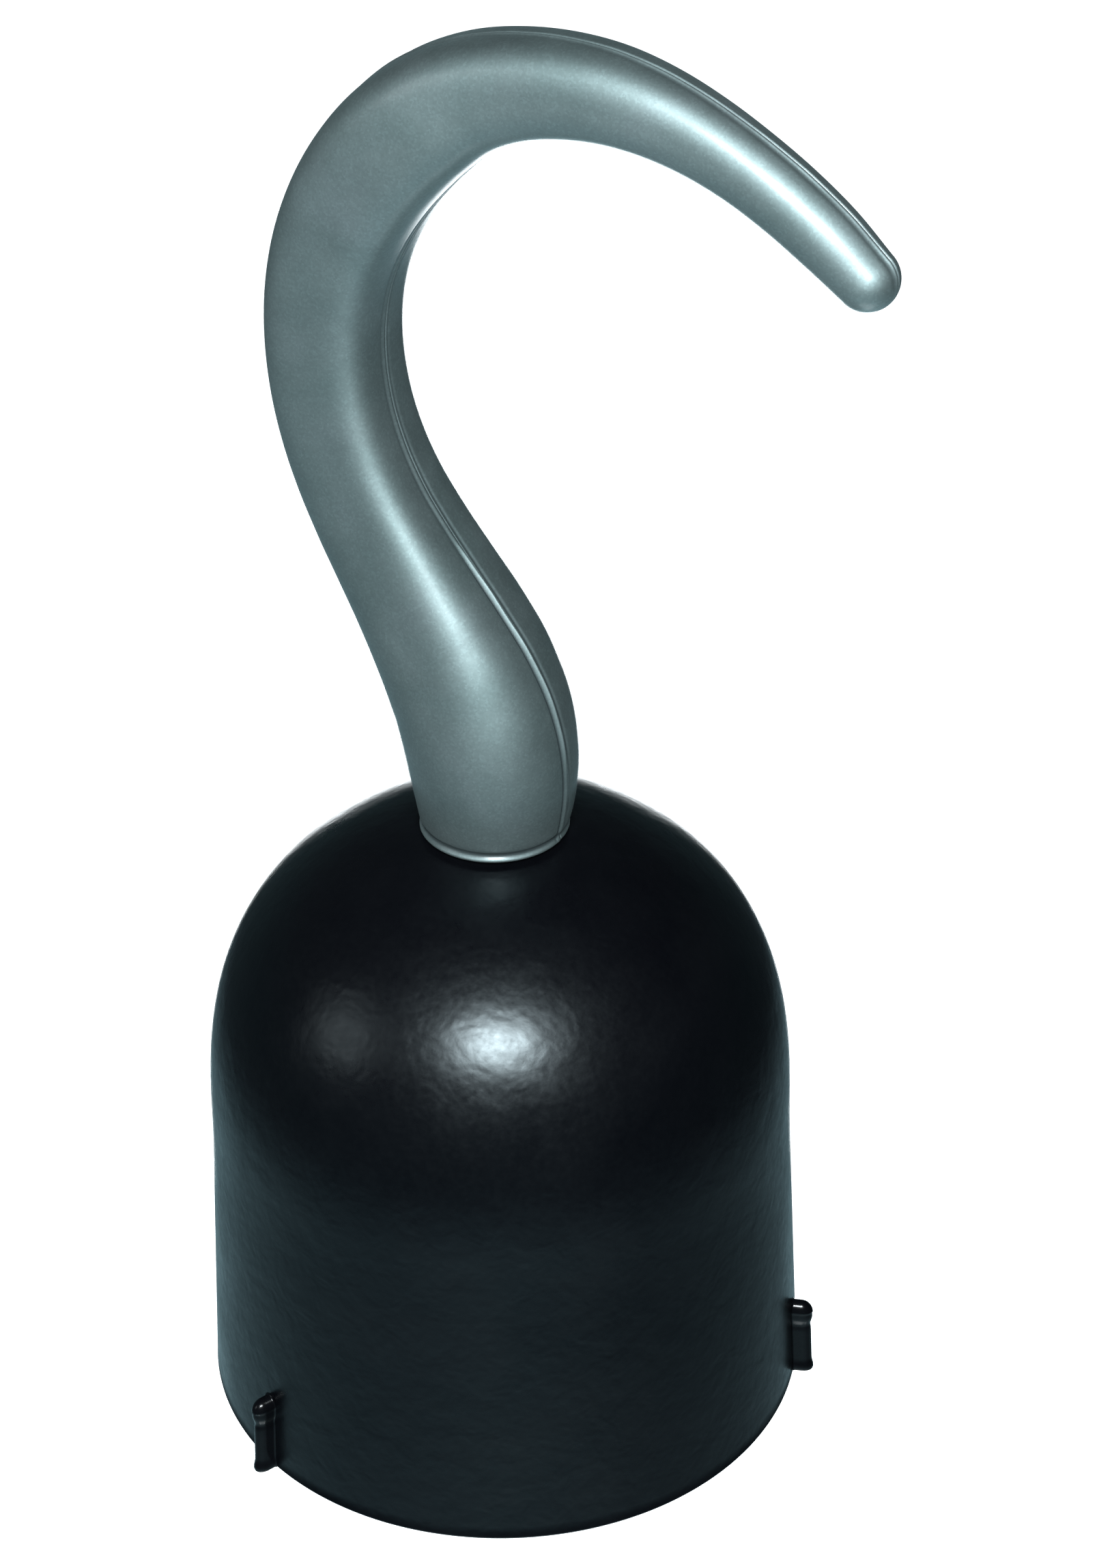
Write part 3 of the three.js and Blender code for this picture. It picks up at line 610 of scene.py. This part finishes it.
# ------------------------------------------------------------------ shank, washers, nut, grip
def build_shank():
    prof = [[0, 38.8]] + arc(5.7, 39.6, 0.8, -90, 0, 5) + [[6.5, 60], [6.5, 88.4]] + [[6.7, 88.9], [7.0, 89.6]]
    v, f = lathe(prof + [[7.0, 91.0], [7.0, 104.0], [7.9, 104.2], [7.9, 108.6], [9.2, 108.7], [9.2, 111.7], [6.5, 111.9], [6.5, 120.4], [5.9, 121], [0, 121]], 96)
    # thread below and through the nut
    pitch, turns, seg = 2.0, 6.3, 72
    z0 = 91.0
    tv, tf = [], []
    n = int(turns * seg)
    for k in range(n + 1):
        a = 2 * math.pi * k / seg
        z = z0 + pitch * k / seg
        grow = min(1.0, k / (seg * 0.5), (n - k) / (seg * 0.5))
        for r, dz in ((6.9, -0.85), (7.0 + 0.9 * grow, -0.22), (7.0 + 0.9 * grow, 0.22), (6.9, 0.85)):
            tv.append((r * math.cos(a), r * math.sin(a), z + dz))
    for k in range(n):
        for j in range(3):
            tf.append([k * 4 + j, (k + 1) * 4 + j, (k + 1) * 4 + j + 1, k * 4 + j + 1])
        tf.append([k * 4 + 3, (k + 1) * 4 + 3, (k + 1) * 4, k * 4])
    tf.append([0, 1, 2, 3])
    tf.append([n * 4 + 3, n * 4 + 2, n * 4 + 1, n * 4])
    n0 = len(v)
    v = np.vstack([v, np.array(tv)])
    f = f + [[i + n0 for i in q] for q in tf]
    ob = make("shank_post", v, f, M_GRIP, "hook", ["neck_shank"], sharp=35)
    return ob


def build_washer(name, node, z, t, r, hole):
    c = min(0.12, t / 3)
    prof = [[hole, z + c], [hole + c, z], [r - c, z], [r, z + c], [r, z + t - c], [r - c, z + t], [hole + c, z + t], [hole, z + t - c]]
    v, f = lathe(prof, 128, close=True)
    return make(name, v, f, M_WASHER, "hook", [node], sharp=50)


def build_nut():
    """A six-sided nut with turned chamfers."""
    z0, t, rc, hole = 94.8, 6.4, 13.2, 8.2
    flat = rc * math.cos(math.pi / 6)
    seg = 144
    verts, faces, rows = [], [], []
    def hex_r(a):
        k = (a + math.pi / 6) % (math.pi / 3) - math.pi / 6
        return flat / math.cos(k)
    ring_z = [0.0, 0.001, 0.25, 0.5, 0.9, 1.4, t - 1.4, t - 0.9, t - 0.5, t - 0.25, t - 0.001, t]
    prof_r = lambda zz: 12.0 + 1.9 * min(1, min(zz, t - zz) / 0.9)
    for zz in ring_z:
        row = []
        for k in range(seg):
            a = 2 * math.pi * k / seg
            a_hex = a - math.pi / 6 * 0
            r = min(hex_r(a_hex), prof_r(zz))
            row.append(len(verts))
            verts.append((r * math.sin(a), r * math.cos(a), z0 + zz))
        rows.append(row)
    for r_in, zz in ((hole + 0.5, t), (hole, t - 0.5), (hole, 0.5), (hole + 0.5, 0.0)):
        row = []
        for k in range(seg):
            a = 2 * math.pi * k / seg
            row.append(len(verts))
            verts.append((r_in * math.sin(a), r_in * math.cos(a), z0 + zz))
        rows.append(row)
    n = len(rows)
    for i in range(n):
        a, b = rows[i], rows[(i + 1) % n]
        for k in range(seg):
            k2 = (k + 1) % seg
            faces.append([a[k], b[k], b[k2], a[k2]])
    ob = make("hex_nut", verts, faces, M_GRIP, "hook", ["retaining_nut"], sharp=28)
    fix_normals(ob)
    return ob


BAR_Z, BAR_HALF, BAR_AX, BAR_AZ = 47.2, 39.0, 10.0, 10.8


def build_bar(name, node, side):
    """Half of the grip bar: an oval bar with shallow finger hollows and rounded ends, split down its middle."""
    L = BAR_HALF
    ys = np.concatenate([L * np.sin(np.linspace(-math.pi / 2, -0.9, 22)), np.linspace(-L * math.sin(0.9), L * math.sin(0.9), 90)[1:-1], L * np.sin(np.linspace(0.9, math.pi / 2, 22))])
    seg = 56
    verts, rows = [], []
    end = 6.5
    for y in ys:
        d = L - abs(y)
        s = 1.0 if d >= end else 0.52 + 0.48 * math.sqrt(max(0.0, 1 - ((end - d) / end) ** 2))
        e = 2.3
        row = []
        for k in range(seg + 1):
            a = -math.pi / 2 + math.pi * k / seg
            ca, sa = math.cos(a), math.sin(a)
            x = BAR_AX * s * abs(ca) ** (2 / e)
            z = BAR_AZ * s * math.copysign(abs(sa) ** (2 / e), sa)
            # ribs round the bar for the palm
            rib = 0.0
            if abs(y) > 8 and d > 7:
                rib = -0.28 * (0.5 - 0.5 * math.cos(2 * math.pi * (abs(y) - 8) / 2.55)) * smoothstep((d - 7) / 2) * smoothstep((abs(y) - 8) / 2)
                rib *= smoothstep((abs(ca) - 0.12) / 0.25)
            n = math.hypot(x, z) + 1e-9
            x += rib * x / n
            z += rib * z / n
            x = max(x, 0.12)
            if k in (0, seg):
                x = 0.12
            row.append(len(verts))
            verts.append((side * x, y, BAR_Z + z))
        rows.append(row)
    faces = []
    for i in range(len(rows) - 1):
        for k in range(seg):
            faces.append([rows[i][k], rows[i][k + 1], rows[i + 1][k + 1], rows[i + 1][k]])
        faces.append([rows[i][seg], rows[i][0], rows[i + 1][0], rows[i + 1][seg]])
    faces.append(rows[0])
    faces.append(rows[-1][::-1])
    ob = make(name, verts, faces, M_GRIP, "hook", [node], sharp=40)
    fix_normals(ob)
    # the shank's pocket, and counterbores for the screws
    cut(ob, "round_z", (0, 0, 70), 6.8, 70)
    if side > 0:
        for y in (-25, 0, 25):
            cut(ob, "round_x", (12.0 - 0.0, y, BAR_Z), 3.2, 9.0 - 0.0)
            cut(ob, "round_x", (5.0, y, BAR_Z), 1.65, 14.0)
    close_holes(ob)
    return ob


def cut(ob, kind, centre, r, length):
    """Cuts a round hole, centred on a point in mm about the cup's axis."""
    v, f = lathe([[0, -length / 2], [r, -length / 2], [r, length / 2], [0, length / 2]], 48)
    if kind == "round_x":
        v = v[:, [2, 0, 1]]
    v = v + np.array(centre)
    me = bpy.data.meshes.new("cutter")
    me.from_pydata(((v + AXIS) * MM).tolist(), [], f)
    tool = bpy.data.objects.new("cutter", me)
    bpy.context.scene.collection.objects.link(tool)
    fix_normals(tool)
    mod = ob.modifiers.new("cut", "BOOLEAN")
    mod.operation = "DIFFERENCE"
    mod.solver = "EXACT"
    mod.object = tool
    dg = bpy.context.evaluated_depsgraph_get()
    new = bpy.data.meshes.new_from_object(ob.evaluated_get(dg))
    ob.modifiers.remove(mod)
    old = ob.data
    ob.data = new
    bpy.data.meshes.remove(old)
    bpy.data.objects.remove(tool)
    bpy.data.meshes.remove(me)


def build_screw(name, node, y):
    """Pan-head screw with a cross recess, thread on its shaft."""
    x_head = BAR_AX - 0.6
    total = 16.4
    head = [[0, total]] + [[2.9 * math.sin(math.radians(a)), total - 0.9 + 0.9 * math.cos(math.radians(a))] for a in range(10, 91, 10)] + [[2.9, total - 1.6], [1.35, total - 1.6]]
    shaft = []
    z = total - 1.8
    while z > 1.8:
        shaft += [[1.05, z], [1.35, z - 0.25], [1.35, z - 0.33], [1.05, z - 0.6]]
        z -= 0.75
    prof = head + shaft + [[1.0, 1.4], [0.3, 0.1], [0, 0]]
    v, f = lathe(prof[::-1], 40)
    v = v[:, [2, 0, 1]]
    v[:, 0] += x_head - total
    v[:, 1] += y
    v[:, 2] += BAR_Z
    ob = make(name, v, f, M_STEEL, "hook", [node], sharp=40)
    fix_normals(ob)
    for size in ((0.8, 3.6), (3.6, 0.8)):
        me = bpy.data.meshes.new("cutter")
        import bmesh
        bm = bmesh.new()
        bmesh.ops.create_cube(bm, size=1.0)
        for p in bm.verts:
            taper = 0.75 if p.co.x < 0 else 1.0
            p.co = Vector(((x_head - 0.6 + p.co.x * 1.6 + AXIS[0]) * MM, (y + p.co.y * size[0] * taper) * MM, (BAR_Z + p.co.z * size[1] * taper) * MM))
        bm.to_mesh(me)
        bm.free()
        tool = bpy.data.objects.new("cutter", me)
        bpy.context.scene.collection.objects.link(tool)
        mod = ob.modifiers.new("cut", "BOOLEAN")
        mod.operation = "DIFFERENCE"
        mod.solver = "EXACT"
        mod.object = tool
        dg = bpy.context.evaluated_depsgraph_get()
        new = bpy.data.meshes.new_from_object(ob.evaluated_get(dg))
        ob.modifiers.remove(mod)
        old = ob.data
        ob.data = new
        bpy.data.meshes.remove(old)
        bpy.data.objects.remove(tool)
        bpy.data.meshes.remove(me)
    return ob


build_cup()
for _name, _deg in POSTS.items():
    build_post(_name, _deg)
build_half("hook_near_shell", True, "hook_half_near")
build_half("hook_far_shell", False, "hook_half_far")
build_shank()
build_washer("washer_outer", "swivel_washer_outer", 105.62, 0.46, 10.6, 8.2)
build_washer("washer_inner", "swivel_washer_inner", 101.5, 0.8, 13.5, 8.2)
build_nut()
build_bar("grip_front", "grip_bar_front", 1.0)
build_bar("grip_rear", "grip_bar_rear", -1.0)
for _n, _y in (("left", -25.0), ("centre", 0.0), ("right", 25.0)):
    build_screw("screw_" + _n, "grip_screw_" + _n, _y)


# ------------------------------------------------------------------ stage, light and camera
def stage():
    me = bpy.data.meshes.new("floor")
    s = 8.0
    me.from_pydata([(-s, -s, 0), (s, -s, 0), (s, s, 0), (-s, s, 0)], [], [(0, 1, 2, 3)])
    floor = bpy.data.objects.new("floor", me)
    bpy.context.scene.collection.objects.link(floor)
    m = bpy.data.materials.new("floor_pale")
    m.use_nodes = True
    b = m.node_tree.nodes["Principled BSDF"]
    b.inputs["Base Color"].default_value = (0.85, 0.85, 0.85, 1)
    b.inputs["Roughness"].default_value = 0.9
    b.inputs["Specular IOR Level"].default_value = 0.1
    b.inputs["Emission Color"].default_value = (1, 1, 1, 1)
    b.inputs["Emission Strength"].default_value = 0.90
    # only the upper side is there, so that the inside of the cup can be seen from below
    nt = m.node_tree
    out = nt.nodes["Material Output"]
    clear = nt.nodes.new("ShaderNodeBsdfTransparent")
    side = nt.nodes.new("ShaderNodeMixShader")
    geo = nt.nodes.new("ShaderNodeNewGeometry")
    nt.links.new(geo.outputs["Backfacing"], side.inputs[0])
    nt.links.new(b.outputs[0], side.inputs[1])
    nt.links.new(clear.outputs[0], side.inputs[2])
    nt.links.new(side.outputs[0], out.inputs["Surface"])
    me.materials.append(m)
    # the floor is pale to look at, and doesn't light the object or show in its gloss
    floor.visible_glossy = False
    floor.visible_diffuse = False
    floor.visible_shadow = False

    # a dim room for the gloss and the fill, a white backdrop to look at
    w = bpy.data.worlds.new("studio")
    bpy.context.scene.world = w
    w.use_nodes = True
    nt = w.node_tree
    bg = nt.nodes["Background"]
    lp = nt.nodes.new("ShaderNodeLightPath")
    tc = nt.nodes.new("ShaderNodeTexCoord")
    sep = nt.nodes.new("ShaderNodeSeparateXYZ")
    nt.links.new(tc.outputs["Generated"], sep.inputs[0])
    room = ramp(nt, maprange(nt, sep.outputs[2], -1.0, 1.0, 0.0, 1.0), ROOM)
    # darker to the viewer's right, a little lighter straight ahead
    right = turn((1.0, 0.0, 0.0))
    across = math_node(nt, "ADD", math_node(nt, "MULTIPLY", sep.outputs[0], right.x), math_node(nt, "MULTIPLY", sep.outputs[1], right.y))
    side = ramp(nt, maprange(nt, across, -1.0, 1.0, 0.0, 1.0), SIDES)
    room = mix(nt, 1.0, room, side, "MULTIPLY")
    col = mix(nt, lp.outputs["Is Camera Ray"], room, (1.0, 1.0, 1.0))
    nt.links.new(col, bg.inputs["Color"])
    bg.inputs["Strength"].default_value = 1.0


ROOM = [(0.0, (0.40, 0.64, 0.72)), (0.14, (0.38, 0.61, 0.69)), (0.21, (0.26, 0.43, 0.49)), (0.285, (0.035, 0.05, 0.06)), (0.40, (0.050, 0.088, 0.098)),
        (0.55, (0.050, 0.088, 0.098)), (0.66, (0.030, 0.040, 0.045)), (1.0, (0.020, 0.026, 0.030))]


SIDES = [(0.0, (0.72, 0.74, 0.74)), (0.25, (0.95, 0.95, 0.95)), (0.46, (1.30, 1.28, 1.26)), (0.60, (1.15, 1.13, 1.12)), (0.80, (0.60, 0.58, 0.58)), (1.0, (0.42, 0.40, 0.40))]


def front_to_frame(p):
    """From axes that face the camera (camera at -Y) to the part's frame; the hook's plane is turned 60 degrees from the viewer."""
    a = math.radians(30.0)
    x, y, z = p
    return Vector(((x * math.cos(a) - y * math.sin(a) + AXIS[0]) * MM, (x * math.sin(a) + y * math.cos(a) + AXIS[1]) * MM, z * MM))


def turn(d):
    a = math.radians(30.0)
    return Vector((d[0] * math.cos(a) - d[1] * math.sin(a), d[0] * math.sin(a) + d[1] * math.cos(a), d[2]))


def camera():
    pitch, yaw, roll = math.radians(32.68), math.radians(0.99), math.radians(-0.86)
    fw = Vector((math.sin(yaw) * math.cos(pitch), math.cos(yaw) * math.cos(pitch), -math.sin(pitch)))
    rt = fw.cross(Vector((0, 0, 1))).normalized()
    up = rt.cross(fw)
    c, s = math.cos(roll), math.sin(roll)
    rt2, up2 = rt * c + up * s, up * c - rt * s
    cam = bpy.data.cameras.new("camera")
    ob = bpy.data.objects.new("camera", cam)
    bpy.context.scene.collection.objects.link(ob)
    rt2, up2, fw = turn(rt2), turn(up2), turn(fw)
    pos = front_to_frame((0, -499.9, 434.01))
    ob.matrix_world = Matrix(((rt2.x, up2.x, -fw.x, pos.x), (rt2.y, up2.y, -fw.y, pos.y), (rt2.z, up2.z, -fw.z, pos.z), (0, 0, 0, 1)))
    cam.sensor_width = 36
    cam.sensor_fit = "AUTO"
    cam.lens = 5537.07 * 36 / 2296
    cam.clip_start = 0.01
    bpy.context.scene.camera = ob
    return ob


def area(name, pos, target, size, power, colour=(1, 1, 1), size_y=None):
    l = bpy.data.lights.new(name, "AREA")
    l.energy = power
    l.color = colour
    l.size = size
    if size_y:
        l.shape = "RECTANGLE"
        l.size_y = size_y
    ob = bpy.data.objects.new(name, l)
    bpy.context.scene.collection.objects.link(ob)
    p, t = front_to_frame(pos), front_to_frame(target)
    ob.location = p
    ob.rotation_euler = (t - p).to_track_quat("-Z", "Y").to_euler()
    return ob


stage()
camera()
area("key", (-10, -499, 506), (0, 0, 110), 0.24, 12.4, (0.91, 0.975, 1.0), 0.12)
area("fill_left", (-1000, -360, 520), (0, 0, 90), 0.42, 1.8, (0.92, 0.98, 1.0))

area("back", (0, 965, -420), (0, 0, 120), 0.50, 6.0, (0.93, 0.98, 1.0))
area("below", (40, -120, -900), (0, 0, 60), 0.60, 3.0, (0.93, 0.98, 1.0))

bpy.context.scene.view_settings.view_transform = "Standard"
bpy.context.scene.view_settings.look = "None"

bpy.context.view_layer.update()
